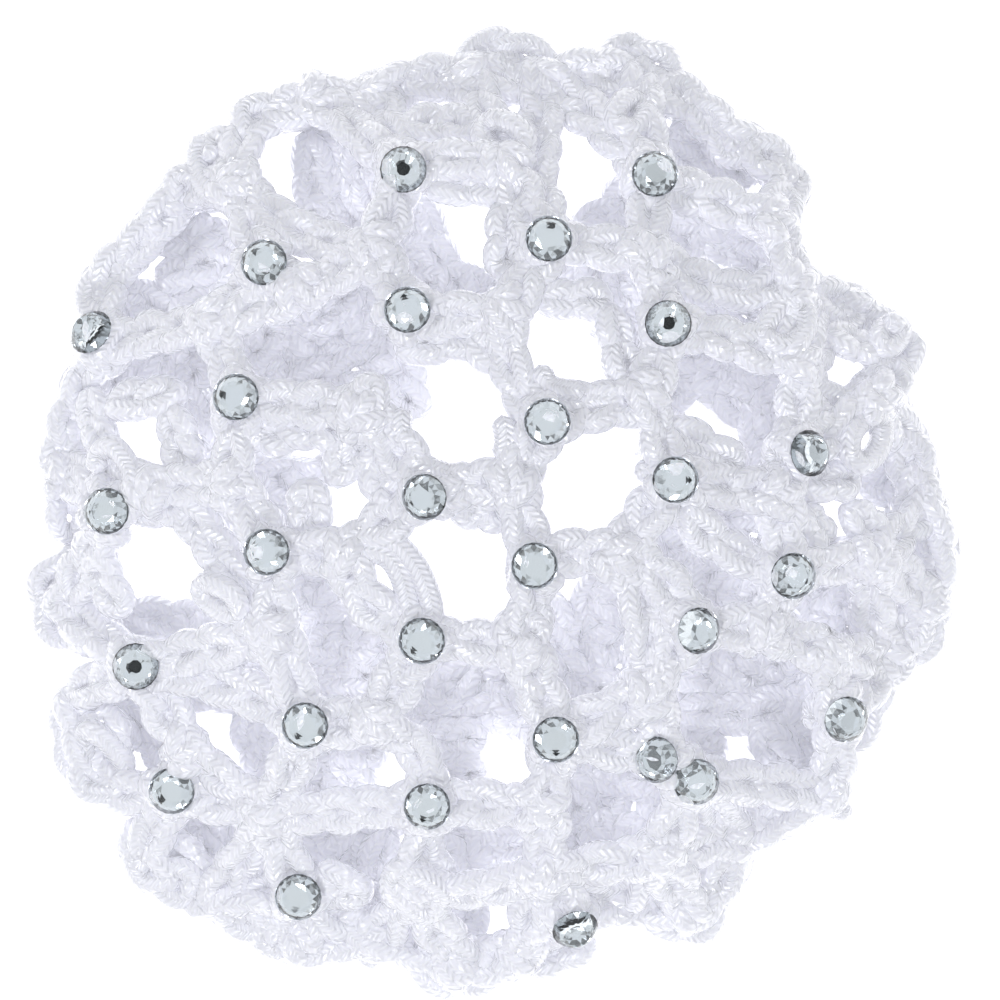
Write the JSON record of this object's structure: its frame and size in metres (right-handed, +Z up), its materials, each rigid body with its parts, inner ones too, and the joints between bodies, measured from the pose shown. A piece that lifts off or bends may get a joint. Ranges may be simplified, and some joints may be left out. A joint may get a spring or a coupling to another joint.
{
  "type": "crocheted bun net",
  "caption": "Crocheted cord net for a hair bun, lying crown up, with an open worked crown set with flat-backed crystals and an underside drawn in round a mouth.",
  "frame": {"origin": "middle of the foot of the whole net, on the surface that it lies on", "axes": "+Z up out of the crown, +Y the way that the picture's top points, +X to the picture's right"},
  "size_m": [0.0914, 0.0936, 0.0282],
  "materials": {
    "cord": "glossy white braided rayon cord, crocheted, with a faint lavender shade in its folds",
    "elastic": "white covered round elastic, matt",
    "crystal": "clear cut glass with a silver foil back, polished facets"
  },
  "bodies": {
    "root": {"crown_net": "cord", "underside_net": "cord", "elastic_cord": "elastic", "stone_01": "crystal", "stone_02": "crystal", "stone_03": "crystal", "stone_04": "crystal", "stone_05": "crystal", "stone_06": "crystal", "stone_07": "crystal", "stone_08": "crystal", "stone_09": "crystal", "stone_10": "crystal", "stone_11": "crystal", "stone_12": "crystal", "stone_13": "crystal", "stone_14": "crystal", "stone_15": "crystal", "stone_16": "crystal", "stone_17": "crystal", "stone_18": "crystal", "stone_19": "crystal", "stone_20": "crystal", "stone_21": "crystal", "stone_22": "crystal", "stone_23": "crystal", "stone_24": "crystal", "stone_25": "crystal", "stone_26": "crystal", "stone_27": "crystal", "stone_28": "crystal"}
  },
  "joints": []
}
